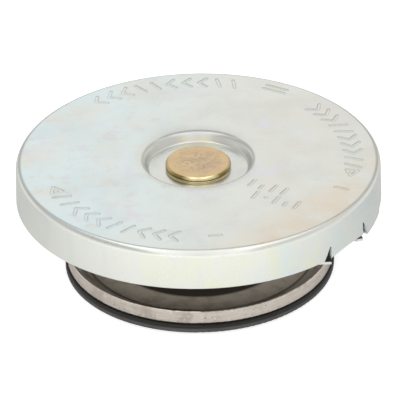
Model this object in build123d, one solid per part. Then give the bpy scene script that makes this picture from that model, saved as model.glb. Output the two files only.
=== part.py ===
from build123d import *
from math import cos, hypot, radians, sin
import os

# Bayonet pressure cap for a radiator filler neck, +Z up, origin under the middle of the seal plate.
# The cap stands on that plate. Sizes are millimetres, radii are measured from the Z axis.

# Pressed shell
SHELL_R = 40.0
SHELL_SHEET = 1.0
SHELL_HEIGHT = 27.1
SKIRT_DROP = 8.9
SKIRT_FLARE = 0.3
SHELL_CORNER_R = 1.4
RECESS_FLOOR_R = 11.2
RECESS_MOUTH_R = 13.0
RECESS_DEPTH = 2.4
RECESS_FOOT_R = 0.7
RECESS_LIP_R = 1.8

# Two cam ears turned in from the skirt, arched along their edge, with a relief slot beside each end
EAR_COUNT = 2
EAR_MIDDLE_DEG = -37.2
EAR_WIDTH_DEG = 17.0
EAR_DROP = 1.4
EAR_ARCH = 0.9
EAR_REACH = 5.6
EAR_BEND_R = 0.6
WING_INSET = 1.5
WING_THICK = 0.6
SLOT_WIDTH_DEG = 3.0
SLOT_HEIGHT = 3.0
SLOT_TIP = 0.35

# Centre rivet and its washer
RIVET_HEAD_R = 7.2
RIVET_HEAD_THICK = 1.35
RIVET_HEAD_EDGE_R = 0.6
RIVET_SHANK_R = 3.0
RIVET_TAIL_R = 4.7
RIVET_TAIL_THICK = 1.5
RIVET_WASHER_R = 6.2
RIVET_WASHER_THICK = 0.8
SWIVEL_PLAY = 0.05
SHANK_PLAY = 0.05

# Spring disc that presses on the mouth of the neck, and its rubber ring
DISC_RIM_PLAY = 3.0
DISC_SHEET = 0.4
DISC_FLAT_R = 15.5
DISC_STEP_R = 20.5
DISC_STEP = 1.0
DISC_EDGE_FALL = 0.3
DISC_BEND_R = 1.5
NECK_SEAL_INSET = 1.5
NECK_SEAL_WIDTH = 7.0
NECK_SEAL_THICK = 1.2

# Main spring, on the upper seat and in the valve cup
SPRING_GUIDE_PLAY = 1.6
SPRING_WIRE_R = 1.4
SPRING_ACTIVE_TURNS = 2.5
SPRING_END_SET = 0.35
SEAT_SHEET = 0.6
SEAT_RIM = 2.0
SEAT_RIM_PLAY = 0.6
SEAT_BEND_R = 0.9

# Guide cup under the seat, with a crimped lip that holds the valve sleeve
GUIDE_R = 14.0
GUIDE_SHEET = 0.6
GUIDE_LIP_Z = 8.2
GUIDE_LIP_REACH = 1.8
GUIDE_BEND_R = 1.3
VENT_R = 1.6
VENT_COUNT = 4
VENT_Z = 16.5

# Valve sleeve, welded to the valve cup
SLEEVE_SHEET = 0.6
SLEEVE_LIP_PLAY = 0.4
SLEEVE_WALL_PLAY = 0.6
SLEEVE_FOOT_REACH = 3.4
SLEEVE_BEND_R = 1.0
STOP_PLAY = 0.05

# Valve cup and the rubber seal under it
CUP_R = 29.6
CUP_FLOOR = 0.8
CUP_HEIGHT = 3.3
CUP_RIM = 0.9
CUP_INNER_R = 2.1
CUP_FOOT_EDGE = 0.4
MAIN_SEAL_OVERHANG = 0.4
MAIN_SEAL_THICK = 1.9
MAIN_SEAL_PROUD = 0.1
MAIN_SEAL_EDGE_R = 0.3
MAIN_SEAL_PLAY = 0.2

# Seal plate, a dished washer that clamps the seal
PLATE_R = 21.5
PLATE_SHEET = 0.7
PLATE_WELD_INSET = 0.9
PLATE_HOLE_R = 8.6
PLATE_BEND_R = 0.85
PLATE_FOOT_R = 0.2

# Vacuum valve in the middle of the cup floor
STEM_R = 1.15
STEM_PLAY = 0.15
PORT_R = 1.1
PORT_COUNT = 6
PORT_CIRCLE_R = 3.9
VACUUM_DISC_R = 7.8
VACUUM_DISC_THICK = 0.7
VACUUM_SEAL_THICK = 0.6
VACUUM_SEAT_PLAY = 0.03
VACUUM_SPRING_MEAN_R = 6.2
VACUUM_SPRING_WIRE_R = 0.35
VACUUM_SPRING_LENGTH = 5.2
VACUUM_SPRING_TURNS = 3.0
KEEPER_SHEET = 0.5
KEEPER_RIM = 1.2
KEEPER_RIM_PLAY = 0.35
KEEPER_BEND_R = 0.7
STEM_HEAD_R = 1.9
STEM_HEAD_THICK = 0.6

# Heights that follow, from the seal plate up
seal_bottom = PLATE_SHEET
cup_bottom = seal_bottom + MAIN_SEAL_THICK
cup_floor = cup_bottom + CUP_FLOOR
skirt_bottom = SHELL_HEIGHT - SKIRT_DROP
ear_bottom = skirt_bottom - EAR_DROP
recess_floor = SHELL_HEIGHT - RECESS_DEPTH
disc_top = recess_floor - SHELL_SHEET - SWIVEL_PLAY
seat_top = disc_top - DISC_SHEET
guide_top = seat_top - SEAT_SHEET
washer_top = guide_top - GUIDE_SHEET
tail_top = washer_top - RIVET_WASHER_THICK
sleeve_flange_bottom = GUIDE_LIP_Z + GUIDE_SHEET + STOP_PLAY
keeper_bottom = cup_floor + VACUUM_SPRING_LENGTH
keeper_top = keeper_bottom + KEEPER_SHEET

# Radii that follow
skirt_foot_r = SHELL_R + SKIRT_FLARE
shank_hole_r = RIVET_SHANK_R + SHANK_PLAY
guide_lip_r = GUIDE_R - GUIDE_SHEET - GUIDE_LIP_REACH
sleeve_r = guide_lip_r - SLEEVE_LIP_PLAY
sleeve_flange_r = GUIDE_R - GUIDE_SHEET - SLEEVE_WALL_PLAY
sleeve_foot_r = sleeve_r + SLEEVE_FOOT_REACH
disc_r = SHELL_R - SHELL_SHEET - DISC_RIM_PLAY
neck_seal_r = disc_r - NECK_SEAL_INSET
spring_mean_r = GUIDE_R + SPRING_GUIDE_PLAY + SPRING_WIRE_R
main_seal_r = CUP_R + MAIN_SEAL_OVERHANG
plate_dish_r = sleeve_foot_r - PLATE_WELD_INSET


def turned(outline, fillets=()):
    """Solid of revolution from a closed outline of (radius, height) points.

    fillets lists (point number, radius) for the corners that are rounded.
    """
    with BuildSketch(Plane.XZ) as section:
        with BuildLine():
            Polyline(*outline, close=True)
        make_face()
        for number, radius in fillets:
            fillet(section.vertices().sort_by_distance(outline[number])[0], radius)
    return revolve(section.sketch, Axis.Z)


def pressed(path, bends, sheet, side, arc=360.0):
    """Sheet of even thickness turned about Z from one face's path of (radius, height) points."""
    with BuildSketch(Plane.XZ) as section:
        with BuildLine():
            FilletPolyline(*path, radius=bends)
            offset(amount=sheet, side=side)
        make_face()
    return revolve(section.sketch, Axis.Z, revolution_arc=arc)


def washer(inner_r, outer_r, bottom, top, edge_r=0.0):
    """Flat ring, with its outer edges rounded where edge_r is given."""
    ring = Pos(0, 0, bottom) * (
        Cylinder(outer_r, top - bottom, align=(Align.CENTER, Align.CENTER, Align.MIN))
        - Cylinder(inner_r, top - bottom, align=(Align.CENTER, Align.CENTER, Align.MIN))
    )
    if edge_r > 0:
        outer_edges = ring.edges().filter_by(GeomType.CIRCLE).group_by(SortBy.RADIUS)[-1]
        ring = fillet(outer_edges, edge_r)
    return ring


def drilled(body, hole_r, count, circle_r, bottom, top):
    """body with a ring of holes along Z."""
    hole = Pos(circle_r, 0, bottom) * Cylinder(
        hole_r, top - bottom, align=(Align.CENTER, Align.CENTER, Align.MIN)
    )
    for number in range(count):
        body = body - Rot(0, 0, 360.0 * number / count) * hole
    return body


def coil_spring(bottom, top, mean_r, wire_r, active_turns, end_set):
    """Compression spring with one closed turn and a ground flat at each end."""
    closed_pitch = 2.05 * wire_r
    start = bottom + end_set * wire_r
    end = top - end_set * wire_r
    active_height = end - start - 2 * closed_pitch
    lower = Pos(0, 0, start) * Helix(closed_pitch, closed_pitch, mean_r)
    middle = Pos(0, 0, start + closed_pitch) * Helix(active_height / active_turns, active_height, mean_r)
    upper = Pos(0, 0, end - closed_pitch) * Rot(0, 0, 360.0 * active_turns) * Helix(
        closed_pitch, closed_pitch, mean_r
    )
    path = Wire([lower, middle, upper])
    section = Plane(origin=path @ 0, z_dir=path % 0) * Circle(wire_r)
    coil = sweep(section, path=path, is_frenet=True)
    room = Pos(0, 0, bottom) * Cylinder(
        mean_r + 2 * wire_r, top - bottom, align=(Align.CENTER, Align.CENTER, Align.MIN)
    )
    return coil & room


def cap_shell():
    """Zinc-plated pressing: flat top with a round recess, plain skirt and two cam ears."""
    shell = pressed(
        [
            (shank_hole_r, recess_floor),
            (RECESS_FLOOR_R, recess_floor),
            (RECESS_MOUTH_R, SHELL_HEIGHT),
            (SHELL_R, SHELL_HEIGHT),
            (skirt_foot_r, skirt_bottom),
        ],
        [RECESS_FOOT_R, RECESS_LIP_R, SHELL_CORNER_R],
        SHELL_SHEET,
        Side.RIGHT,
    )
    ear_start = EAR_MIDDLE_DEG - EAR_WIDTH_DEG / 2
    ear_end = EAR_MIDDLE_DEG + EAR_WIDTH_DEG / 2
    for number in range(EAR_COUNT):
        turn = 360.0 * number / EAR_COUNT
        shell = shell - Rot(0, 0, turn + ear_start) * relief_slot(-1)
        shell = shell - Rot(0, 0, turn + ear_end) * relief_slot(1)
        shell = shell + Rot(0, 0, turn + ear_start) * cam_ear()
    return shell


def relief_slot(side):
    """Three-cornered cutter beside an ear: upright on the ear's side, sloping on the other."""
    width = SHELL_R * radians(SLOT_WIDTH_DEG)
    below = skirt_bottom - EAR_DROP
    slope = (width - SLOT_TIP) / SLOT_HEIGHT
    foot = width + slope * EAR_DROP
    with BuildSketch(Plane(origin=(0, 0, 0), x_dir=(0, 1, 0), z_dir=(1, 0, 0))) as section:
        with BuildLine():
            Polyline(
                (0, below),
                (0, skirt_bottom + SLOT_HEIGHT),
                (side * SLOT_TIP, skirt_bottom + SLOT_HEIGHT),
                (side * foot, below),
                close=True,
            )
        make_face()
    return Pos(SHELL_R - 2 * SHELL_SHEET, 0, 0) * extrude(section.sketch, 3 * SHELL_SHEET)


def cam_ear():
    """Ear that hangs below the skirt; its arched lip is turned in under the neck's cam flange."""
    half_width = skirt_foot_r * sin(radians(EAR_WIDTH_DEG / 2))
    arch_r = (half_width**2 + EAR_ARCH**2) / (2 * EAR_ARCH)
    arch_axis = Rot(0, 0, EAR_WIDTH_DEG / 2) * Pos(SHELL_R, 0, ear_bottom + EAR_ARCH - arch_r) * Rot(0, 90, 0)
    room_under = arch_axis * Cylinder(arch_r, 4 * EAR_REACH)
    room_over = arch_axis * Cylinder(arch_r + SHELL_SHEET, 4 * EAR_REACH)
    inner_r = SHELL_R - EAR_REACH
    wall = ear_sector(skirt_foot_r - SHELL_SHEET, skirt_foot_r, skirt_bottom + SLOT_TIP) - room_under
    lip = ear_sector(inner_r, skirt_foot_r - SHELL_SHEET / 2, skirt_bottom + SHELL_SHEET) & room_over
    ear = wall + (lip - room_under)
    outer_edges = [edge for edge in ear.edges() if edge_radius(edge) > skirt_foot_r - SHELL_SHEET / 4]
    ear = fillet(ShapeList(outer_edges).sort_by(Axis.Z)[0], EAR_BEND_R)
    return ear + Rot(0, 0, EAR_WIDTH_DEG) * lip_wing(1) + lip_wing(-1)


def ear_sector(near_r, far_r, top):
    """Upright piece of ring as wide as an ear, from the ear's lowest point up to top."""
    with BuildSketch(Plane.XZ) as section:
        with Locations(((near_r + far_r) / 2, (ear_bottom + top) / 2)):
            Rectangle(far_r - near_r, top - ear_bottom)
    return revolve(section.sketch, Axis.Z, revolution_arc=EAR_WIDTH_DEG)


def edge_radius(edge):
    """Distance of the middle of an edge from the Z axis."""
    middle = edge @ 0.5
    return hypot(middle.X, middle.Y)


def lip_wing(side):
    """Coined end of the lip, which draws inwards across the foot of the slot."""
    turn = radians(SLOT_WIDTH_DEG) * side
    inner_r = SHELL_R - EAR_REACH
    tip_r = SHELL_R - WING_INSET
    with BuildSketch(Plane.XY.offset(ear_bottom)) as outline:
        with BuildLine():
            Polyline(
                (skirt_foot_r, 0),
                (tip_r * cos(turn), tip_r * sin(turn)),
                (inner_r * cos(turn), inner_r * sin(turn)),
                (inner_r, -side * SHELL_SHEET),
                (skirt_foot_r - SHELL_SHEET, -side * SHELL_SHEET),
                close=True,
            )
        make_face()
    return extrude(outline.sketch, WING_THICK)


def centre_rivet():
    """Brass rivet: flat head in the recess, shank through the stack, tail upset on its washer."""
    head_bottom = recess_floor + SWIVEL_PLAY
    head_top = head_bottom + RIVET_HEAD_THICK
    tail_bottom = tail_top - RIVET_TAIL_THICK
    return turned(
        [
            (0, head_top),
            (RIVET_HEAD_R, head_top),
            (RIVET_HEAD_R, head_bottom),
            (RIVET_SHANK_R, head_bottom),
            (RIVET_SHANK_R, tail_top),
            (RIVET_TAIL_R, tail_top),
            (RIVET_TAIL_R, tail_bottom),
            (0, tail_bottom),
        ],
        [(1, RIVET_HEAD_EDGE_R), (6, RIVET_TAIL_THICK * 0.6)],
    )


def rivet_washer():
    """Steel washer that spreads the rivet's tail over the top of the guide cup."""
    return washer(shank_hole_r, RIVET_WASHER_R, tail_top, washer_top, RIVET_WASHER_THICK / 4)


def spring_disc():
    """Thin stainless disc, stepped up towards its edge, that presses on the neck's mouth."""
    return pressed(
        [
            (shank_hole_r, disc_top),
            (DISC_FLAT_R, disc_top),
            (DISC_STEP_R, disc_top + DISC_STEP),
            (disc_r, disc_top + DISC_STEP - DISC_EDGE_FALL),
        ],
        DISC_BEND_R,
        DISC_SHEET,
        Side.RIGHT,
    )


def neck_seal():
    """Rubber ring bonded under the edge of the spring disc."""
    seal_top = disc_top + DISC_STEP - DISC_EDGE_FALL - DISC_SHEET
    inner_r = neck_seal_r - NECK_SEAL_WIDTH
    return washer(inner_r, neck_seal_r, seal_top - NECK_SEAL_THICK, seal_top, NECK_SEAL_THICK / 4)


def spring_seat():
    """Cupped washer that carries the top coil of the main spring."""
    rim_r = spring_mean_r + SPRING_WIRE_R + SEAT_RIM_PLAY + SEAT_SHEET
    return pressed(
        [(shank_hole_r, seat_top), (rim_r, seat_top), (rim_r, seat_top - SEAT_RIM)],
        SEAT_BEND_R,
        SEAT_SHEET,
        Side.RIGHT,
    )


def guide_cup():
    """Drawn cup under the seat; its lower lip is crimped in under the valve sleeve's flange."""
    cup = pressed(
        [
            (shank_hole_r, guide_top),
            (GUIDE_R, guide_top),
            (GUIDE_R, GUIDE_LIP_Z),
            (guide_lip_r, GUIDE_LIP_Z),
        ],
        GUIDE_BEND_R,
        GUIDE_SHEET,
        Side.RIGHT,
    )
    vent = Pos(GUIDE_R - GUIDE_SHEET / 2, 0, VENT_Z) * Rot(0, 90, 0) * Cylinder(VENT_R, 4 * GUIDE_SHEET)
    for number in range(VENT_COUNT):
        cup = cup - Rot(0, 0, 360.0 * (number + 0.5) / VENT_COUNT) * vent
    return cup


def main_spring():
    """Main pressure spring round the guide cup."""
    return coil_spring(
        cup_floor, guide_top, spring_mean_r, SPRING_WIRE_R, SPRING_ACTIVE_TURNS, SPRING_END_SET
    )


def valve_sleeve():
    """Flanged tube: foot welded in the valve cup, upper flange held above the guide's lip."""
    return pressed(
        [
            (sleeve_foot_r, cup_floor),
            (sleeve_r - SLEEVE_SHEET, cup_floor),
            (sleeve_r - SLEEVE_SHEET, sleeve_flange_bottom + SLEEVE_SHEET),
            (sleeve_flange_r, sleeve_flange_bottom + SLEEVE_SHEET),
        ],
        SLEEVE_BEND_R,
        SLEEVE_SHEET,
        Side.RIGHT,
    )


def valve_cup():
    """Turned stainless cup with an upright rim, a stem hole and a ring of vacuum ports."""
    rim_top = cup_bottom + CUP_HEIGHT
    inner_r = CUP_R - CUP_RIM
    cup = turned(
        [
            (STEM_R + STEM_PLAY, cup_bottom),
            (CUP_R, cup_bottom),
            (CUP_R, rim_top),
            (inner_r, rim_top),
            (inner_r, cup_floor),
            (STEM_R + STEM_PLAY, cup_floor),
        ],
        [(1, CUP_FOOT_EDGE), (4, CUP_INNER_R), (2, CUP_RIM / 3), (3, CUP_RIM / 3)],
    )
    return drilled(cup, PORT_R, PORT_COUNT, PORT_CIRCLE_R, cup_bottom, cup_floor)


def main_seal():
    """Rubber ring that seals on the ledge inside the neck; the plate sits in a shallow rebate in it."""
    inner_r = plate_dish_r + MAIN_SEAL_PLAY
    rebate_r = PLATE_R + MAIN_SEAL_PLAY
    rim_bottom = seal_bottom - MAIN_SEAL_PROUD
    return turned(
        [
            (inner_r, cup_bottom),
            (inner_r, seal_bottom),
            (rebate_r, seal_bottom),
            (rebate_r, rim_bottom),
            (main_seal_r, rim_bottom),
            (main_seal_r, cup_bottom),
        ],
        [(4, MAIN_SEAL_EDGE_R), (5, MAIN_SEAL_EDGE_R)],
    )


def seal_plate():
    """Dished steel washer, welded to the cup floor at its raised middle, that clamps the seal."""
    return pressed(
        [
            (PLATE_HOLE_R, cup_bottom),
            (plate_dish_r, cup_bottom),
            (plate_dish_r, seal_bottom),
            (PLATE_R, seal_bottom),
        ],
        [PLATE_BEND_R, PLATE_FOOT_R],
        PLATE_SHEET,
        Side.RIGHT,
    )


def vacuum_valve():
    """Brass disc and stem that open downwards when the radiator cools."""
    seal_top = cup_bottom - VACUUM_SEAT_PLAY
    disc_upper = seal_top - VACUUM_SEAL_THICK
    head_top = keeper_top + STEM_HEAD_THICK
    return turned(
        [
            (0, disc_upper - VACUUM_DISC_THICK),
            (VACUUM_DISC_R, disc_upper - VACUUM_DISC_THICK),
            (VACUUM_DISC_R, disc_upper),
            (STEM_R, disc_upper),
            (STEM_R, keeper_top),
            (STEM_HEAD_R, keeper_top),
            (STEM_HEAD_R, head_top),
            (0, head_top),
        ],
        [(1, VACUUM_DISC_THICK / 3), (6, STEM_HEAD_THICK / 2)],
    )


def vacuum_seal():
    """Rubber washer on the vacuum disc."""
    seal_top = cup_bottom - VACUUM_SEAT_PLAY
    return washer(STEM_R, VACUUM_DISC_R, seal_top - VACUUM_SEAL_THICK, seal_top)


def vacuum_spring():
    """Light spring that pulls the vacuum disc up against the cup floor."""
    return coil_spring(
        cup_floor,
        keeper_bottom,
        VACUUM_SPRING_MEAN_R,
        VACUUM_SPRING_WIRE_R,
        VACUUM_SPRING_TURNS,
        SPRING_END_SET,
    )


def spring_keeper():
    """Cupped washer under the stem's head, on top of the vacuum spring."""
    rim_r = VACUUM_SPRING_MEAN_R + VACUUM_SPRING_WIRE_R + KEEPER_RIM_PLAY + KEEPER_SHEET
    return pressed(
        [(STEM_R, keeper_top), (rim_r, keeper_top), (rim_r, keeper_top - KEEPER_RIM)],
        KEEPER_BEND_R,
        KEEPER_SHEET,
        Side.RIGHT,
    )


PARTS = {
    "cap_shell": cap_shell,
    "centre_rivet": centre_rivet,
    "rivet_washer": rivet_washer,
    "spring_disc": spring_disc,
    "neck_seal": neck_seal,
    "spring_seat": spring_seat,
    "guide_cup": guide_cup,
    "main_spring": main_spring,
    "valve_sleeve": valve_sleeve,
    "valve_cup": valve_cup,
    "main_seal": main_seal,
    "seal_plate": seal_plate,
    "vacuum_valve": vacuum_valve,
    "vacuum_seal": vacuum_seal,
    "vacuum_spring": vacuum_spring,
    "spring_keeper": spring_keeper,
}

os.makedirs("parts", exist_ok=True)
for name, make in PARTS.items():
    export_step(make(), os.path.join("parts", name + ".step"))
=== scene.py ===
import math

import bpy
import numpy as np
from mathutils import Matrix, Vector


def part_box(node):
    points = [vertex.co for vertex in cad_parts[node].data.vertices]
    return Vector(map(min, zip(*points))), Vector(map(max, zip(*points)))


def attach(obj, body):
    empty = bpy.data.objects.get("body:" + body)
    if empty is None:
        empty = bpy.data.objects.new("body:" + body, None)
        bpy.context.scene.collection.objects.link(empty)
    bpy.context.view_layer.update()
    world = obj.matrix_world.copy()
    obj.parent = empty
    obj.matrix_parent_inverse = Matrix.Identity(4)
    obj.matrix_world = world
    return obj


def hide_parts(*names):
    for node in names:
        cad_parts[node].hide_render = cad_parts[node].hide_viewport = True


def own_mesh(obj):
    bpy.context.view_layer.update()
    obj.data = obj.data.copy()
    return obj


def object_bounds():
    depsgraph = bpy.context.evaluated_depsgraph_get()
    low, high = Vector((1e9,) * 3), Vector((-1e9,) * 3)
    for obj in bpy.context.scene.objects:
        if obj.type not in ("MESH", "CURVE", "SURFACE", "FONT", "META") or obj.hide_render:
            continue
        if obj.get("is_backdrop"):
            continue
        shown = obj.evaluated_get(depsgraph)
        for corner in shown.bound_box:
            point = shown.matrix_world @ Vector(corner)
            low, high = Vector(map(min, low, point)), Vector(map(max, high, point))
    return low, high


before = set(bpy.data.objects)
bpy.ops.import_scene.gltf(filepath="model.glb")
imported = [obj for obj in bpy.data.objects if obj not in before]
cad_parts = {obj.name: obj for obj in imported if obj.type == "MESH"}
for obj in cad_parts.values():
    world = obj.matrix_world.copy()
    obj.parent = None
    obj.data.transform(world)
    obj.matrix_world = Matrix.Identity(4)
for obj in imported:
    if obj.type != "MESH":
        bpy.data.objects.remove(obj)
cad_low, cad_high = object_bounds()
MM = 0.001

# Studio.
# A white table in a white room, as for a catalogue picture of a plated part. Behind the cap the metal
# mirrors a white panel in a grey wall, and in front a wide window with a bar down its middle, between
# darker walls that are white low down.


def linear(code):
    """Linear colour with alpha 1 from an sRGB hex code."""
    parts = [int(code[i : i + 2], 16) / 255 for i in (1, 3, 5)]
    return [p / 12.92 if p <= 0.04045 else ((p + 0.055) / 1.055) ** 2.4 for p in parts] + [1.0]


def add(tree, kind, inputs=None, **settings):
    """Adds a shader node. Each input gets a value, a hex colour, or the node or socket that feeds it."""
    made = tree.nodes.new("ShaderNode" + kind)
    for name, value in settings.items():
        setattr(made, name, value)
    for name, value in (inputs or {}).items():
        if isinstance(value, bpy.types.Node):
            value = value.outputs[0]
        if isinstance(value, bpy.types.NodeSocket):
            tree.links.new(value, made.inputs[name])
        else:
            made.inputs[name].default_value = linear(value) if isinstance(value, str) else value
    return made


scene = bpy.context.scene
scene.view_settings.view_transform = "Standard"

world = bpy.data.worlds.new("white studio")
scene.world = world
world.use_nodes = True
tree = world.node_tree
tree.nodes.clear()
rays = add(tree, "LightPath")
direction = add(tree, "TexCoord").outputs["Generated"]
split = add(tree, "SeparateXYZ", {0: direction})

# The level top of the cap mirrors the part of the room that lies this way.
MIRRORED_WAY = (0, 0.861, 0.509)
away = add(tree, "VectorMath", {0: direction, 1: MIRRORED_WAY}, operation="DOT_PRODUCT").outputs["Value"]
panel = add(tree, "MapRange", {0: away, 1: 0.930, 2: 0.970, 3: 0.54, 4: 0.99})
in_front = add(tree, "MapRange", {0: away, 1: 0.81, 2: 0.72})
side = add(tree, "Math", {0: split.outputs["X"]}, operation="ABSOLUTE")
beside = add(tree, "MapRange", {0: side, 1: 0.45, 2: 0.60})
low = add(tree, "MapRange", {0: split.outputs["Z"], 1: 0.45, 2: 0.30})
low_side = add(tree, "Math", {0: beside, 1: low}, operation="MULTIPLY")

# Across the front, from left to right: dark wall, a pane, the bar, a pane and dark wall.
across = add(tree, "MapRange", {0: split.outputs["X"], 1: -1.0, 2: 1.0})
window = add(tree, "ValToRGB", {0: across})
stops = window.color_ramp.elements
for place, level in ((0.24, 0.30), (0.33, 0.74), (0.43, 0.64), (0.50, 0.44), (0.57, 0.62), (0.68, 0.74)):
    stops.new(place).color = (level, level, level, 1)
stops[0].color = (0.29, 0.29, 0.29, 1)
stops[-1].position = 0.78
stops[-1].color = (0.38, 0.38, 0.38, 1)
overhead = add(tree, "MapRange", {0: away, 1: -0.30, 2: 0.50, 3: 1.85, 4: 2.15})
high = add(tree, "Math", {0: window, 1: overhead}, operation="MULTIPLY")
forward = add(tree, "Mix", {0: low_side, 2: high, 3: 0.97})
mirrored = add(tree, "Mix", {0: in_front, 2: panel, 3: forward})

# Metal mirrors the room, matt surfaces are lit evenly, and the camera sees plain white.
unseen = add(tree, "Mix", {0: rays.outputs["Is Glossy Ray"], 2: 0.70, 3: mirrored})
seen = add(tree, "Mix", {0: rays.outputs["Is Camera Ray"], 2: unseen, 3: 1.0})
through = add(tree, "Mix", {0: rays.outputs["Is Transmission Ray"], 2: seen, 3: 1.0})
room = add(tree, "Background", {"Color": "#FFFFFF", "Strength": through})
add(tree, "OutputWorld", {"Surface": room})

lamp = bpy.data.lights.new("lamp at the front", "AREA")
lamp.shape = "RECTANGLE"
lamp.size = 0.50
lamp.size_y = 0.14
lamp.energy = 2.0
holder = bpy.data.objects.new("lamp at the front", lamp)
scene.collection.objects.link(holder)
holder.location = (-0.06, -0.56, 0.18)
holder.rotation_mode = "QUATERNION"
holder.rotation_quaternion = (Vector((0, 0, 0.02)) - holder.location).to_track_quat("-Z", "Y")
holder.visible_glossy = False

TABLE_HALF = 1.2
bpy.ops.object.select_all(action="DESELECT")
bpy.ops.mesh.primitive_plane_add(size=2 * TABLE_HALF, location=(0, 0, cad_low.z))
table = bpy.context.object
table.name = "table"
white_table = bpy.data.materials.new("white table")
white_table.use_nodes = True
tree = white_table.node_tree
tree.nodes.clear()
rays = add(tree, "LightPath")
place = add(tree, "TexCoord")
split = add(tree, "SeparateXYZ", {0: place.outputs["Object"]})
towards_back = add(tree, "MapRange", {0: split.outputs["Y"], 1: -80 * MM, 2: 20 * MM, 3: 0.36, 4: 0.0})
mirrored = add(tree, "Math", {0: rays.outputs["Is Glossy Ray"], 1: towards_back}, operation="MULTIPLY")
glow = add(tree, "Math", {0: rays.outputs["Is Camera Ray"], 1: 0.62, 2: mirrored}, operation="MULTIPLY_ADD")
paint = add(tree, "BsdfDiffuse", {"Color": "#F4F4F4"})
fill = add(tree, "Emission", {"Color": "#FFFFFF", "Strength": glow})
shown = add(tree, "AddShader", {0: paint, 1: fill})
add(tree, "OutputMaterial", {"Surface": shown})
table.data.materials.append(white_table)
table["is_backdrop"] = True

# Camera.
# It looks along +Y and down on the cap from about 30 degrees, from far enough for the flat
# perspective of a product picture, and it leans a little to the right.

CAMERA_DISTANCE = 700 * MM
CAMERA_AIM = Vector((2.0, 0, 14.16)) * MM
CAMERA_ELEVATION = math.radians(30.6)
CAMERA_ROLL = math.radians(-0.9)
CAMERA_LENS = 273.5

lens = bpy.data.cameras.new("camera")
lens.lens = CAMERA_LENS
lens.sensor_width = 36
lens.clip_start = 0.02
lens.clip_end = 20
camera = bpy.data.objects.new("camera", lens)
scene.collection.objects.link(camera)
back = Vector((0, -math.cos(CAMERA_ELEVATION), math.sin(CAMERA_ELEVATION)))
camera.location = CAMERA_AIM + back * CAMERA_DISTANCE
camera.rotation_mode = "QUATERNION"
leaned = Matrix.Rotation(CAMERA_ROLL, 3, "Z").to_quaternion()
camera.rotation_quaternion = (-back).to_track_quat("-Z", "Y") @ leaned
scene.camera = camera

# Cap shell.
# One pressing of 1 mm steel, zinc plated and clear passivated, that turns on the rivet: a flat top that
# sags a little round its recess, a plain skirt, and two cam ears turned in below it. Plain marks are
# stamped into the top.

SHEET = 1.0 * MM
shell_low, shell_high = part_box("cap_shell")
FOOT_R = shell_high.x
SHELL_R = FOOT_R - 0.3 * MM
TOP = shell_high.z
EAR_BOTTOM = shell_low.z
SKIRT_BOTTOM = TOP - 8.9 * MM
SKIRT_EDGE = 0.15 * MM
CORNER_R = 1.4 * MM
HOLE_R = 3.05 * MM
RECESS_FLOOR_R = 11.1 * MM
RECESS_MOUTH_R = 12.0 * MM
RECESS_DEPTH = 2.4 * MM
SAG_R = 15.7 * MM
SAG = 0.45 * MM
SAG_CURVE = 1.5
SAG_RINGS = 8
RECESS_FOOT_R = 0.7 * MM
RECESS_LIP_R = 1.2 * MM
LIP_ROOM = 0.8 * MM
EAR_REACH = 5.6 * MM
EAR_BEND_R = 0.6 * MM
EAR_ARCH = 0.9 * MM
ARCH_FADE = 1.4 * MM
EAR_MIDDLE = math.radians(-37.2)
EAR_WIDTH = math.radians(17.0)
WING_WIDTH = math.radians(3.0)
WING_INSET = 1.5 * MM
WING_THICK = 0.6 * MM
WING_OVERLAP = 1.0 * MM
SLOT_HEIGHT = 3.0 * MM
SLOT_TIP = 0.35 * MM
SPIN_STEPS = 300
RING_STEP = 0.75 * MM
SAME_PLACE = 0.001 * MM
SMOOTH_BELOW = math.radians(40)


def rounded(corners, steps=6):
    """Points of a closed outline whose corners (radius from the axis, height, bend) are rounded."""
    points = []
    for i, (r, z, bend) in enumerate(corners):
        here = Vector((r, z))
        if bend == 0:
            points.append(here)
            continue
        before = (Vector(corners[i - 1][:2]) - here).normalized()
        after = (Vector(corners[(i + 1) % len(corners)][:2]) - here).normalized()
        half = before.angle(after) / 2
        centre = here + (before + after).normalized() * bend / math.sin(half)
        first = here + before * bend / math.tan(half) - centre
        last = here + after * bend / math.tan(half) - centre
        begin = math.atan2(first.y, first.x)
        turn = math.atan2(last.y, last.x) - begin
        turn -= 2 * math.pi * round(turn / (2 * math.pi))
        for step in range(steps + 1):
            angle = begin + turn * step / steps
            points.append(centre + bend * Vector((math.cos(angle), math.sin(angle))))
    return points


def spun(name, outline, steps=SPIN_STEPS, start=0.0, turn=2 * math.pi):
    """A solid turned about the Z axis from a closed outline of (radius, height) points."""
    bpy.ops.object.select_all(action="DESELECT")
    bpy.ops.mesh.primitive_circle_add(vertices=len(outline), fill_type="NGON" if turn < 6 else "NOTHING")
    piece = bpy.context.object
    piece.name = name
    for vertex, (r, z) in zip(piece.data.vertices, outline):
        vertex.co = (r * math.cos(start), r * math.sin(start), z)
    bpy.ops.object.mode_set(mode="EDIT")
    bpy.ops.mesh.select_all(action="SELECT")
    bpy.ops.mesh.spin(steps=steps, angle=turn, center=(0, 0, 0), axis=(0, 0, 1))
    bpy.ops.mesh.select_all(action="SELECT")
    bpy.ops.mesh.remove_doubles(threshold=SAME_PLACE)
    bpy.ops.mesh.normals_make_consistent(inside=False)
    bpy.ops.object.mode_set(mode="OBJECT")
    return piece


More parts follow.
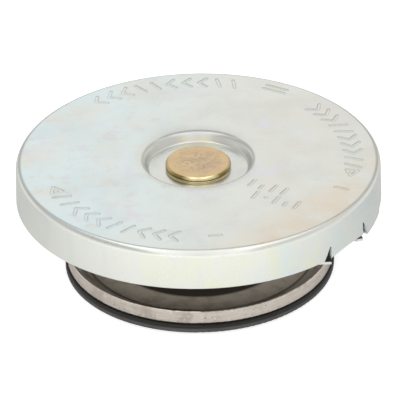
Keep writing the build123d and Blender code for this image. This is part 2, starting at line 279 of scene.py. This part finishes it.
def prism(outline, reach):
    """A solid from a flat outline of points, drawn out by reach."""
    bpy.ops.object.select_all(action="DESELECT")
    bpy.ops.mesh.primitive_circle_add(vertices=len(outline), fill_type="NGON")
    piece = bpy.context.object
    for vertex, point in zip(piece.data.vertices, outline):
        vertex.co = point
    bpy.ops.object.mode_set(mode="EDIT")
    bpy.ops.mesh.select_all(action="SELECT")
    bpy.ops.mesh.extrude_region_move(TRANSFORM_OT_translate={"value": reach})
    bpy.ops.mesh.select_all(action="SELECT")
    bpy.ops.mesh.normals_make_consistent(inside=False)
    bpy.ops.object.mode_set(mode="OBJECT")
    return piece


def combine(piece, others, operation):
    """Cuts the other solids, which don't touch each other, out of piece, or unites them with it."""
    bpy.ops.object.select_all(action="DESELECT")
    for other in others:
        other.select_set(True)
    bpy.context.view_layer.objects.active = others[0]
    bpy.ops.object.join()
    bpy.ops.object.select_all(action="DESELECT")
    piece.select_set(True)
    bpy.context.view_layer.objects.active = piece
    step = piece.modifiers.new("step", "BOOLEAN")
    step.operation = operation
    step.solver = "EXACT"
    step.object = others[0]
    bpy.ops.object.modifier_apply(modifier=step.name)
    bpy.data.objects.remove(others[0])


recess_floor = TOP - RECESS_DEPTH
inner_r = SHELL_R - SHEET
lip_r = SHELL_R - EAR_REACH
mouth = TOP - SAG
bend_shift = SHEET * math.tan(math.atan2(RECESS_DEPTH - SAG, RECESS_MOUTH_R - RECESS_FLOOR_R) / 2)
sag_rings = np.linspace(RECESS_MOUTH_R + LIP_ROOM, SAG_R, SAG_RINGS)
top_rings = np.arange(SAG_R + RING_STEP / 2, SHELL_R - CORNER_R, RING_STEP)
shell = spun(
    "cap_shell_pressing",
    rounded(
        [
            (HOLE_R, recess_floor, 0),
            (RECESS_FLOOR_R - 1.0 * MM, recess_floor, 0),
            (RECESS_FLOOR_R, recess_floor, RECESS_FOOT_R),
            (RECESS_MOUTH_R, mouth, RECESS_LIP_R),
        ]
        + [(r, TOP - SAG * ((SAG_R - r) / (SAG_R - RECESS_MOUTH_R)) ** SAG_CURVE, 0) for r in sag_rings]
        + [(r, TOP, 0) for r in top_rings]
        + [
            (SHELL_R, TOP, CORNER_R),
            (FOOT_R, SKIRT_BOTTOM, 0),
            (FOOT_R, EAR_BOTTOM, EAR_BEND_R),
            (lip_r, EAR_BOTTOM, 0),
            (lip_r, EAR_BOTTOM + SHEET, 0),
            (FOOT_R - SHEET, EAR_BOTTOM + SHEET, 0),
            (inner_r, TOP - SHEET, CORNER_R - SHEET),
            (inner_r - 2 * SHEET, TOP - SHEET, 0),
            (SAG_R, TOP - SHEET, 0),
            (RECESS_MOUTH_R + bend_shift, mouth - SHEET, RECESS_LIP_R - SHEET),
            (RECESS_FLOOR_R + bend_shift, recess_floor - SHEET, RECESS_FOOT_R + SHEET),
            (HOLE_R, recess_floor - SHEET, 0),
        ]
    ),
)

SLACK = 0.5 * MM
below = EAR_BOTTOM - SLACK
far = FOOT_R + SLACK
slot_width = SHELL_R * WING_WIDTH
slot_foot = slot_width + (slot_width - SLOT_TIP) / SLOT_HEIGHT * (SKIRT_BOTTOM - below)
slot_tip = SKIRT_BOTTOM + SLOT_HEIGHT
slots = []
walls = []
wings = []
for turned in (0, math.pi):
    for side in (1, -1):
        end = Matrix.Rotation(EAR_MIDDLE + turned + side * EAR_WIDTH / 2, 4, "Z")
        corners = [(0, below), (0, slot_tip), (side * SLOT_TIP, slot_tip), (side * slot_foot, below)]
        slot = prism([(inner_r - SLACK / 2, y, z) for y, z in corners], (far - inner_r + SLACK / 2, 0, 0))
        slot.data.transform(end)
        slots.append(slot)
        tip = (math.cos(WING_WIDTH), side * math.sin(WING_WIDTH))
        plan = [(FOOT_R, 0), [(SHELL_R - WING_INSET) * t for t in tip], [lip_r * t for t in tip]]
        plan += [(lip_r, -side * WING_OVERLAP), (FOOT_R - SHEET, -side * WING_OVERLAP)]
        wing = prism([(x, y, EAR_BOTTOM) for x, y in plan], (0, 0, WING_THICK))
        wing.data.transform(end)
        wings.append(wing)
    # The skirt's lower edge is broken by a narrow chamfer, so that it shows as a bright line.
    section = [(lip_r - SLACK, below), (far, below), (far, SKIRT_BOTTOM + far - FOOT_R + SKIRT_EDGE)]
    section += [(FOOT_R - SKIRT_EDGE, SKIRT_BOTTOM), (lip_r - SLACK, SKIRT_BOTTOM)]
    walls.append(
        spun("wall", section, SPIN_STEPS // 2, EAR_MIDDLE + EAR_WIDTH / 2 + turned, math.pi - EAR_WIDTH)
    )
combine(shell, slots, "DIFFERENCE")
combine(shell, walls, "DIFFERENCE")

# The lip of each ear is arched: its middle lies higher than its ends, and the rise fades out above it.
half_width = FOOT_R * math.sin(EAR_WIDTH / 2)
arch_r = (half_width**2 + EAR_ARCH**2) / (2 * EAR_ARCH)
fade = SKIRT_BOTTOM + ARCH_FADE
for vertex in shell.data.vertices:
    x, y, z = vertex.co
    if z > fade:
        continue
    angle = math.remainder(math.atan2(y, x) - EAR_MIDDLE, math.pi)
    if abs(angle) < EAR_WIDTH / 2:
        rise = math.sqrt(arch_r**2 - (math.hypot(x, y) * math.sin(angle)) ** 2) - (arch_r - EAR_ARCH)
        vertex.co.z += max(rise, 0) * min(1, (fade - z) / (fade - EAR_BOTTOM - SHEET))
combine(shell, wings, "UNION")

# Each stamped mark is a few straight strokes, as (across, outwards) points in mm round its middle.
MARKS = {
    "chevron": [((-0.9, -1.9), (0.9, 0)), ((0.9, 0), (-0.9, 1.9))],
    "slant": [((-0.6, -1.7), (0.6, 1.7))],
    "head": [((-1.1, -1.3), (1.2, 0)), ((1.2, 0), (-1.1, 1.3)), ((-1.1, 1.3), (-1.1, -1.3))],
    "dash": [((-2.6, 0.8), (2.6, 0.8)), ((-2.6, -0.8), (2.6, -0.8))],
    "short": [((-1.2, 0), (1.2, 0))],
    "tick": [((0, -1.4), (0, 1.4))],
    "low": [((0, -1.4), (0, 0))],
    "dot": [((0, 0), (0.1, 0))],
}
CHEVRONS = ["chevron"] * 3 + ["slant"] * 2
# Rows of marks: middle radius in mm, angle of the first mark, turn to the next, way that they point.
ROWS = [
    (34.2, 39.0, -5.2, 1, CHEVRONS + CHEVRONS + ["head"]),
    (35.6, 60.0, 5.0, -1, ["dash"]),
    (34.6, 76.0, 6.0, -1, ["slant", "slant"] + CHEVRONS + ["chevron"] * 3),
    (33.6, -157.0, 5.8, 1, ["head", "slant", "slant"] + CHEVRONS + ["chevron"] * 3),
    (33.4, -84.0, 5.0, 1, ["short"]),
    (34.0, -25.0, 5.0, 1, ["tick"]),
]
# Straight rows of marks: place of the first mark in mm, its angle, step to the next mark.
LINES = [
    (11.6, -11.4, 59.0, (2.3, -1.3), ["tick", "low", "tick", "tick"]),
    (12.2, -16.6, 63.0, (2.2, -1.15), ["tick", "dot", "tick", "low", "tick"]),
]
STROKE = 0.44
STROKE_EDGE = 0.20
STAMP_DEPTH = 0.12

strokes = []
places = []
for radius, first, pitch, way, kinds in ROWS:
    for number, kind in enumerate(kinds):
        angle = math.radians(first + pitch * number)
        out = np.array((math.cos(angle), math.sin(angle)))
        places.append((radius * out, out, way, kind))
for x, y, first, step, kinds in LINES:
    out = np.array((math.cos(math.radians(first)), math.sin(math.radians(first))))
    for number, kind in enumerate(kinds):
        places.append((np.array((x, y)) + number * np.array(step), out, 1, kind))
for middle, out, way, kind in places:
    along = way * np.array((out[1], -out[0]))
    for begin, end in MARKS[kind]:
        strokes.append([middle + a * along + b * out for a, b in (begin, end)])

# The top is divided more finely round the marks, so that each stroke has room for its slopes.
bpy.ops.object.select_all(action="DESELECT")
shell.select_set(True)
bpy.context.view_layer.objects.active = shell
mesh = shell.data
MARK_REACH = 2.9
for polygon in mesh.polygons:
    centre = polygon.center
    polygon.select = False
    if abs(centre.z - TOP) < SAME_PLACE:
        here = np.array((centre.x, centre.y)) / MM
        polygon.select = any(math.hypot(*(here - middle)) < MARK_REACH for middle, *_ in places)
for edge in mesh.edges:
    edge.select = False
for vertex in mesh.vertices:
    vertex.select = False
bpy.ops.object.mode_set(mode="EDIT")
bpy.ops.mesh.select_mode(type="FACE")
bpy.ops.object.mode_set(mode="OBJECT")
bpy.ops.object.mode_set(mode="EDIT")
bpy.ops.mesh.subdivide(number_cuts=4)
bpy.ops.object.mode_set(mode="OBJECT")

co = np.empty(len(mesh.vertices) * 3)
mesh.vertices.foreach_get("co", co)
co = co.reshape(-1, 3)
on_top = np.flatnonzero(np.abs(co[:, 2] - TOP) < SAME_PLACE)
level_top = co[on_top, :2] / MM
nearest = np.full(len(level_top), 99.0)
for begin, end in strokes:
    along = end - begin
    share = np.clip((level_top - begin) @ along / (along @ along), 0, 1)
    nearest = np.minimum(nearest, np.linalg.norm(level_top - begin - share[:, None] * along, axis=1))
press = np.clip((STROKE / 2 + STROKE_EDGE - nearest) / STROKE_EDGE, 0, 1)
co[on_top, 2] -= STAMP_DEPTH * MM * press * press * (3 - 2 * press)
mesh.vertices.foreach_set("co", co.ravel())
mesh.update()
bpy.ops.object.shade_smooth_by_angle(angle=SMOOTH_BELOW)


def new_finish(name, **constants):
    """A new material with constants set on its shader, and Object coordinates, radius and height in mm."""
    made = bpy.data.materials.new(name)
    made.use_nodes = True
    nodes = made.node_tree
    surface = nodes.nodes["Principled BSDF"]
    for socket, value in constants.items():
        surface.inputs[socket].default_value = value
    place = add(nodes, "TexCoord").outputs["Object"]
    mm = add(nodes, "VectorMath", {0: place, "Scale": 1 / MM}, operation="SCALE")
    split = add(nodes, "SeparateXYZ", {0: mm})
    flat = add(nodes, "CombineXYZ", {"X": split.outputs["X"], "Y": split.outputs["Y"]})
    radius = add(nodes, "VectorMath", {0: flat}, operation="LENGTH").outputs["Value"]
    return made, nodes, surface, mm, radius, split.outputs["Z"]


def patches(nodes, mm, size, start, end, stretch=(1, 1, 1), shift=0.0, detail=3.0):
    """Patches about size mm across: 0 where their noise is below start, 1 where it is above end."""
    moved = add(nodes, "Mapping", {"Vector": mm, "Location": (shift, shift, shift), "Scale": stretch})
    noise = add(nodes, "TexNoise", {"Vector": moved, "Scale": 1 / size, "Detail": detail, "Roughness": 0.6})
    return add(nodes, "MapRange", {0: noise, 1: start, 2: end}, interpolation_type="SMOOTHSTEP")


def overlap(nodes, *shares):
    """The share that is left where all the shares lie over each other."""
    result = shares[0]
    for share in shares[1:]:
        result = add(nodes, "Math", {0: result, 1: share}, operation="MULTIPLY")
    return result


def painted(nodes, ground, *layers):
    """The ground colour with (share, colour) layers laid over it in turn."""
    for share, colour in layers:
        ground = add(nodes, "Mix", {0: share, 6: ground, 7: colour}, data_type="RGBA").outputs[2]
    return ground


def lay_on(nodes, surface, colour, relief, dull=None):
    """Gives the surface its colour, its relief and, where it varies, its roughness."""
    nodes.links.new(colour, surface.inputs["Base Color"])
    nodes.links.new(relief.outputs[0], surface.inputs["Normal"])
    if dull:
        nodes.links.new(dull.outputs[0], surface.inputs["Roughness"])


# Bright zinc under a clear passivate: silver with soft clouds, and faint tints of blue, straw and tan.
# Its grain is drawn 0.6 mm wide, coarser than it is, so that it shows.
zinc, nodes, surface, mm, radius, height = new_finish("bright zinc plating, clear passivated", Metallic=1.0)
split = add(nodes, "SeparateXYZ", {0: mm})
top = TOP / MM
floor = recess_floor / MM
mouth_r = RECESS_MOUTH_R / MM
sag_r = SAG_R / MM
shell_r = SHELL_R / MM
wing_top = (EAR_BOTTOM + WING_THICK) / MM

on_top = add(nodes, "MapRange", {0: height, 1: top - 0.2, 2: top - 0.1})
on_skirt = add(nodes, "MapRange", {0: height, 1: top - 0.9, 2: top - 1.5})
in_recess = add(nodes, "MapRange", {0: radius, 1: mouth_r + 0.9, 2: mouth_r + 0.3})
off_floor = add(nodes, "MapRange", {0: height, 1: floor + 0.05, 2: floor + 0.3})
recess_wall = overlap(nodes, in_recess, off_floor)

# The back half of the recess wall is painted darker, and its back more so, as painted shade; low on
# the back, the brass beside it shows as a painted warm reflection.
backwards = split.outputs["Y"]
back_half = add(nodes, "MapRange", {0: backwards, 1: 1.0, 2: 7.0})
back_wall = overlap(nodes, recess_wall, add(nodes, "MapRange", {0: backwards, 1: 10.0, 2: 11.2}))
low_wall = add(nodes, "MapRange", {0: height, 1: floor + 1.2, 2: floor + 0.9})
painted_reflection_patches = patches(nodes, mm, 2.6, 0.34, 0.50, stretch=(0.5, 1, 1), shift=64)
# A dark ring of painted shade runs round the back of the recess's lip.
painted_lip_shade = overlap(
    nodes,
    add(nodes, "MapRange", {0: radius, 1: mouth_r, 2: mouth_r + 0.3}),
    add(nodes, "MapRange", {0: radius, 1: mouth_r + 1.0, 2: mouth_r + 0.9}),
    add(nodes, "MapRange", {0: backwards, 1: 9.0, 2: 11.0}),
)

# Inside the shell the zinc is painted dark, as painted shade.
inside = overlap(
    nodes,
    add(nodes, "MapRange", {0: height, 1: top - 0.95, 2: top - 1.0}),
    add(nodes, "MapRange", {0: height, 1: wing_top + 0.05, 2: wing_top + 0.1}),
    add(nodes, "MapRange", {0: radius, 1: shell_r - 0.15, 2: shell_r - 0.25}),
    add(nodes, "MapRange", {0: radius, 1: sag_r - 0.3, 2: sag_r - 0.2}),
)

# Rainbow tints of the film: blue over the left of the top and warmer at its right, tan along the rim at
# the near right, straw on the near skirt, and blue again at the skirt's right end.
NEAR_RIGHT = (0.743, -0.669, 0)
NEARER = (0.26, -0.966, 0)
near_right = add(nodes, "VectorMath", {0: mm, 1: NEAR_RIGHT}, operation="DOT_PRODUCT").outputs["Value"]
nearer = add(nodes, "VectorMath", {0: mm, 1: NEARER}, operation="DOT_PRODUCT").outputs["Value"]
blue_side = add(nodes, "MapRange", {0: split.outputs["X"], 1: 8, 2: -22})
warm_side = add(nodes, "MapRange", {0: split.outputs["X"], 1: -6, 2: 16})
tan_side = add(nodes, "MapRange", {0: near_right, 1: 26, 2: 33})
blue_end = add(nodes, "MapRange", {0: near_right, 1: 33, 2: 38})
straw_side = add(nodes, "MapRange", {0: nearer, 1: 28, 2: 38})
straw_patches = patches(nodes, mm, 9, 0.34, 0.60, stretch=(1, 1, 0.7), shift=70)
colour = painted(
    nodes,
    "#E2E4DD",
    (overlap(nodes, blue_side, on_top, patches(nodes, mm, 16, 0.34, 0.56)), "#DEEAEA"),
    (overlap(nodes, warm_side, patches(nodes, mm, 13, 0.38, 0.62, shift=40)), "#E1E0D8"),
    (patches(nodes, mm, 9, 0.56, 0.72, shift=90), "#E0E0E4"),
    (patches(nodes, mm, 4, 0.52, 0.72, shift=57), "#DDE0DC"),
    (overlap(nodes, tan_side, on_top, patches(nodes, mm, 8, 0.30, 0.66, shift=15)), "#E2D9C9"),
    # The skirt is painted a shade darker than the top, as painted shade.
    (on_skirt, "#DCDED7"),
    (overlap(nodes, straw_side, on_skirt, straw_patches), "#DCDECA"),
    (overlap(nodes, on_skirt, blue_end, patches(nodes, mm, 8, 0.34, 0.60, shift=28)), "#D4DCDA"),
    (overlap(nodes, on_skirt, patches(nodes, mm, 7, 0.50, 0.66, stretch=(1, 1, 0.3), shift=81)), "#D8DAD5"),
    (patches(nodes, mm, 0.9, 0.70, 0.76, shift=25), "#B9B7B0"),
    (overlap(nodes, recess_wall, back_half), "#D2D3CD"),
    (painted_lip_shade, "#BAC0C0"),
    (back_wall, "#D4D4CE"),
    (overlap(nodes, back_wall, low_wall, painted_reflection_patches), "#DED6BC"),
    (inside, "#5C5B54"),
)
clouds = patches(nodes, mm, 11, 0.35, 0.70, shift=5)
cloudy = add(nodes, "Math", {0: clouds, 1: 0.10, 2: 0.22}, operation="MULTIPLY_ADD")
dull = add(nodes, "Math", {0: recess_wall, 1: 0.12, 2: cloudy}, operation="MULTIPLY_ADD")
grain = add(nodes, "TexNoise", {"Vector": mm, "Scale": 1 / 0.6, "Detail": 3.0, "Roughness": 0.6})
grained = add(nodes, "Bump", {"Height": grain, "Strength": 0.20, "Distance": 0.02 * MM})
swell = add(nodes, "TexNoise", {"Vector": mm, "Scale": 1 / 7, "Detail": 1.0})
waved = add(nodes, "Bump", {"Height": swell, "Strength": 0.4, "Distance": 0.08 * MM, "Normal": grained})
scratches = patches(nodes, mm, 1.2, 0.60, 0.70, stretch=(0.10, 1.6, 1), shift=33)
scratched = add(
    nodes, "Bump", {"Height": scratches, "Strength": 0.25, "Distance": -0.01 * MM, "Normal": waved}
)
lay_on(nodes, surface, colour, scratched, dull)
shell.data.materials.clear()
shell.data.materials.append(zinc)
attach(shell, "shell_body")
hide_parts("cap_shell")

# Centre rivet.
# Turned brass: its round head holds the shell and turns in it, and its tail is upset on a steel washer
# inside the guide cup. The face is dull and marked from the riveting tool, the edge shiny, with a
# painted highlight in front and painted shade beside it.


def dress(material, *names):
    """Gives CAD nodes the material."""
    for name in names:
        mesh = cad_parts[name].data
        mesh.materials.clear()
        mesh.materials.append(material)


# Turned brass: gold and shiny round the edge, with a dull, brownish and pitted face.
brass, nodes, surface, mm, radius, height = new_finish("turned brass, dull face", Metallic=1.0)
head_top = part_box("centre_rivet")[1].z / MM
face = add(nodes, "MapRange", {0: height, 1: head_top - 0.15, 2: head_top - 0.05})
centre = add(nodes, "MapRange", {0: radius, 1: 5.6, 2: 3.2})

# Round the head's foot runs a pale painted highlight, with a dark line of painted shade over it.
painted_foot_highlight = add(nodes, "MapRange", {0: height, 1: floor + 0.35, 2: floor + 0.25})
painted_foot_shade = overlap(
    nodes,
    add(nodes, "MapRange", {0: height, 1: floor + 0.65, 2: floor + 0.5}),
    add(nodes, "MapRange", {0: height, 1: floor + 0.2, 2: floor + 0.35}),
)

# The edge is painted lit and shaded: a pale painted highlight in front, painted shade in brown beside
# that, and painted light in a deeper gold towards the sides.
FRONT = (0.10, -0.995, 0)
front = add(nodes, "VectorMath", {0: mm, 1: FRONT}, operation="DOT_PRODUCT").outputs["Value"]
painted_edge_shade = add(nodes, "MapRange", {0: front, 1: 6.7, 2: 5.8})
painted_side_light = add(nodes, "MapRange", {0: front, 1: 4.6, 2: 2.8})
colour = painted(
    nodes,
    "#FFEFBE",
    (painted_edge_shade, "#97824E"),
    (painted_side_light, "#CDB47E"),
    (painted_foot_highlight, "#F6E8BE"),
    (painted_foot_shade, "#7E6230"),
    (face, "#E5CC9C"),
    (overlap(nodes, face, patches(nodes, mm, 2.6, 0.40, 0.66)), "#E0C29C"),
    (overlap(nodes, face, centre, patches(nodes, mm, 1.8, 0.34, 0.66, shift=11)), "#CDB69E"),
    (overlap(nodes, face, centre, patches(nodes, mm, 0.9, 0.50, 0.68, shift=37)), "#BDA895"),
    (overlap(nodes, face, patches(nodes, mm, 0.6, 0.64, 0.72, stretch=(0.5, 1.6, 1), shift=7)), "#A68660"),
    (patches(nodes, mm, 0.5, 0.70, 0.76, shift=19), "#7E6440"),
)
dull = add(nodes, "MapRange", {0: face, 3: 0.20, 4: 0.42})
dents = add(nodes, "TexNoise", {"Vector": mm, "Scale": 1 / 0.9, "Detail": 3.0, "Roughness": 0.6})
dented = add(nodes, "Bump", {"Height": dents, "Strength": 0.4, "Distance": 0.03 * MM})
lay_on(nodes, surface, colour, dented, dull)
dress(brass, "centre_rivet")

# Valve cup.
# A dish turned from stainless steel, satin, with an upright rim. It is welded to the sleeve, carries the
# seal below it, and the main spring stands in it.

# Satin stainless: fine turned lines round the rim, and a dull, browner inside, with painted shade near
# the foot of its inner wall and a painted shadow of the spring on its floor.
satin, nodes, surface, mm, radius, _ = new_finish("satin stainless steel, turned")
cup_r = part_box("valve_cup")[1].x / MM
outside = add(nodes, "MapRange", {0: radius, 1: cup_r - 2.3, 2: cup_r - 1.9})
inner = add(nodes, "MapRange", {0: radius, 1: cup_r - 1.9, 2: cup_r - 2.3})
# A ring of painted shade lies on the floor near the foot of the inner wall.
painted_wall_shade = overlap(
    nodes,
    add(nodes, "MapRange", {0: radius, 1: cup_r - 4.5, 2: cup_r - 4.2}),
    add(nodes, "MapRange", {0: radius, 1: cup_r - 3.5, 2: cup_r - 4.0}),
)
painted_spring_shadow = add(nodes, "MapRange", {0: radius, 1: cup_r - 9.4, 2: cup_r - 10.2})
turned_lines = patches(nodes, mm, 0.35, 0.35, 0.65, stretch=(0.06, 0.06, 1), detail=2.0)
colour = painted(
    nodes,
    "#E6DED3",
    (turned_lines, "#DAD0C4"),
    (patches(nodes, mm, 4, 0.48, 0.66, stretch=(1, 1, 0.4), shift=12), "#C9BEB2"),
    (patches(nodes, mm, 0.7, 0.60, 0.70, stretch=(0.5, 0.5, 1), shift=31), "#F2EEE8"),
    (patches(nodes, mm, 0.6, 0.62, 0.72, stretch=(0.5, 0.5, 1), shift=52), "#9C9186"),
    (inner, "#D8CDBD"),
    (overlap(nodes, inner, patches(nodes, mm, 3, 0.45, 0.65, shift=8)), "#C6BAA9"),
    (painted_wall_shade, "#857B6D"),
    (painted_spring_shadow, "#4C463E"),
)
shiny = add(nodes, "MapRange", {0: outside, 3: 0.1, 4: 1.0})
nodes.links.new(shiny.outputs[0], surface.inputs["Metallic"])
streaked = add(nodes, "Math", {0: turned_lines, 1: 0.10, 2: 0.34}, operation="MULTIPLY_ADD")
dull = add(nodes, "Mix", {0: outside, 2: 0.68, 3: streaked})
ridged = add(nodes, "Bump", {"Height": turned_lines, "Strength": 0.3, "Distance": 0.02 * MM})
lay_on(nodes, surface, colour, ridged, dull)
dress(satin, "valve_cup")

# Rubber rings.
# Moulded nitrile rubber: the main seal, clamped between cup and plate, the ring bonded under the spring
# disc, and the washer on the vacuum valve.

# Nitrile rubber: matt, dark grey low down, and painted black above it, as painted shade under the cup.
# Its pores are drawn 0.4 mm wide, larger than they are, so that they show.
rubber, nodes, surface, mm, _, height = new_finish("moulded nitrile rubber", Roughness=0.55)
painted_shade_high = add(nodes, "MapRange", {0: height, 1: 1.5, 2: 1.8})
colour = painted(
    nodes,
    "#4C4A49",
    (patches(nodes, mm, 4, 0.40, 0.65), "#434140"),
    (patches(nodes, mm, 0.5, 0.62, 0.72, shift=14), "#605C58"),
    (painted_shade_high, "#121110"),
)
pores = add(nodes, "TexNoise", {"Vector": mm, "Scale": 1 / 0.4, "Detail": 2.0})
pored = add(nodes, "Bump", {"Height": pores, "Strength": 0.3, "Distance": 0.03 * MM})
lay_on(nodes, surface, colour, pored)
dress(rubber, "neck_seal", "main_seal", "vacuum_seal")

# Pressed steel parts inside.
# Washers, cups and the sleeve are drawn and punched from mild steel, and riveted, crimped or welded
# together. The disc that bears on the neck, and the plate under the seal, are rolled stainless sheet.

# Drawn mild steel: grey-brown with upright drawing marks, and darker spots where oil has stayed. The
# marks are drawn 0.6 mm apart, coarser than they are, so that they show.
drawn, nodes, surface, mm, *_ = new_finish("drawn mild steel, oiled", Metallic=1.0)
lines = patches(nodes, mm, 0.6, 0.35, 0.65, stretch=(1, 1, 0.06), detail=2.0)
colour = painted(
    nodes,
    "#9A938A",
    (lines, "#8A8279"),
    (patches(nodes, mm, 6, 0.45, 0.65, shift=21), "#7A6D5C"),
    (patches(nodes, mm, 0.7, 0.66, 0.74, shift=44), "#5C4C3C"),
)
dull = add(nodes, "Math", {0: lines, 1: 0.14, 2: 0.32}, operation="MULTIPLY_ADD")
ridged = add(nodes, "Bump", {"Height": lines, "Strength": 0.25, "Distance": 0.02 * MM})
lay_on(nodes, surface, colour, ridged, dull)
dress(drawn, "rivet_washer", "spring_seat", "guide_cup", "valve_sleeve", "spring_keeper")

# Rolled stainless: pale and bright, with rolling lines that run one way. They are drawn 0.5 mm apart,
# coarser than they are, so that they show.
rolled, nodes, surface, mm, *_ = new_finish("rolled stainless sheet", Metallic=1.0)
lines = patches(nodes, mm, 0.5, 0.35, 0.65, stretch=(0.05, 1, 1), detail=2.0)
colour = painted(
    nodes,
    "#C9C6C0",
    (lines, "#BDB9B2"),
    (patches(nodes, mm, 7, 0.48, 0.66, shift=17), "#B3ADA3"),
    (patches(nodes, mm, 0.6, 0.68, 0.75, shift=61), "#8B847A"),
)
dull = add(nodes, "Math", {0: lines, 1: 0.10, 2: 0.26}, operation="MULTIPLY_ADD")
ridged = add(nodes, "Bump", {"Height": lines, "Strength": 0.2, "Distance": 0.01 * MM})
lay_on(nodes, surface, colour, ridged, dull)
dress(rolled, "spring_disc", "seal_plate")

# Vacuum valve.
# A brass disc and stem turned from one bar. It hangs in the middle of the cup's floor from its light
# spring, and its rubber washer closes the ports there.

# Browned brass: fine rings from the tool, with brown patches and spots from the coolant.
valve_brass, nodes, surface, mm, radius, _ = new_finish("turned brass, browned", Metallic=1.0)
TOOL_PITCH = 0.4488
rings = add(nodes, "Math", {0: radius, 1: 2 * math.pi / TOOL_PITCH}, operation="MULTIPLY")
wave = add(nodes, "Math", {0: rings}, operation="SINE")
colour = painted(
    nodes,
    "#C9A566",
    (patches(nodes, mm, 2.5, 0.42, 0.64), "#A8824C"),
    (patches(nodes, mm, 0.5, 0.64, 0.72, shift=23), "#6F5432"),
)
dull = add(nodes, "MapRange", {0: wave, 1: -1.0, 2: 1.0, 3: 0.26, 4: 0.38})
ringed = add(nodes, "Bump", {"Height": wave, "Strength": 0.3, "Distance": 0.01 * MM})
lay_on(nodes, surface, colour, ringed, dull)
dress(valve_brass, "vacuum_valve")

# Springs.
# Spring steel wire, coiled cold, with the last turn at each end closed and ground flat. The main spring
# holds the valve down, and the small one holds the vacuum valve up.

# Oiled wire: nearly black, with brown spots where the oil has dried.
wire, nodes, surface, mm, *_ = new_finish("oiled spring wire", Metallic=1.0)
colour = painted(
    nodes,
    "#3E3A36",
    (patches(nodes, mm, 3, 0.42, 0.64), "#332E2A"),
    (patches(nodes, mm, 0.5, 0.64, 0.72, shift=9), "#5A4A3A"),
)
oil = patches(nodes, mm, 1.5, 0.35, 0.65, shift=3)
dull = add(nodes, "Math", {0: oil, 1: 0.12, 2: 0.32}, operation="MULTIPLY_ADD")
drag = add(nodes, "TexNoise", {"Vector": mm, "Scale": 1 / 0.3, "Detail": 2.0})
dragged = add(nodes, "Bump", {"Height": drag, "Strength": 0.2, "Distance": 0.01 * MM})
lay_on(nodes, surface, colour, dragged, dull)

# Shares of the wire's radius: how far inside its ground face the centre of an end turn lies, and how far
# a closed turn rises.
END_SET = 0.35
CLOSED_RISE = 2.05


def coil(name, node, wire_r, active_turns, steps):
    """A compression spring in the place of node, from one closed turn, the active turns and one more."""
    low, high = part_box(node)
    mean_r = high.x - wire_r
    start = low.z + END_SET * wire_r
    end = high.z - END_SET * wire_r
    closed = CLOSED_RISE * wire_r
    turns = active_turns + 2
    path = bpy.data.curves.new(name, "CURVE")
    path.dimensions = "3D"
    path.bevel_depth = wire_r
    path.bevel_resolution = 5
    path.use_fill_caps = True
    line = path.splines.new("POLY")
    count = int(turns * steps) + 1
    line.points.add(count - 1)
    for number, point in enumerate(line.points):
        turn = turns * number / (count - 1)
        rise = min(turn, 1) * closed + max(turn - turns + 1, 0) * closed
        rise += min(max(turn - 1, 0), active_turns) * (end - start - 2 * closed) / active_turns
        angle = 2 * math.pi * turn
        point.co = (mean_r * math.cos(angle), mean_r * math.sin(angle), start + rise, 1)
    piece = bpy.data.objects.new(name, path)
    scene.collection.objects.link(piece)
    bpy.ops.object.select_all(action="DESELECT")
    piece.select_set(True)
    bpy.context.view_layer.objects.active = piece
    bpy.ops.object.convert(target="MESH")
    piece = bpy.context.object
    bpy.ops.object.mode_set(mode="EDIT")
    for height, above in ((high.z, True), (low.z, False)):
        bpy.ops.mesh.select_all(action="SELECT")
        bpy.ops.mesh.bisect(
            plane_co=(0, 0, height),
            plane_no=(0, 0, 1),
            use_fill=True,
            clear_outer=above,
            clear_inner=not above,
        )
    bpy.ops.object.mode_set(mode="OBJECT")
    bpy.ops.object.shade_smooth_by_angle(angle=SMOOTH_BELOW)
    piece.data.materials.append(wire)
    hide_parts(node)
    return piece


main_coil = coil("main_spring_coil", "main_spring", wire_r=1.4 * MM, active_turns=2.5, steps=72)
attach(main_coil, "carrier_body")
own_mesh(main_coil)

vacuum_coil = coil("vacuum_spring_coil", "vacuum_spring", wire_r=0.35 * MM, active_turns=3.0, steps=48)
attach(vacuum_coil, "pressure_valve_body")
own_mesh(vacuum_coil)

low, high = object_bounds()
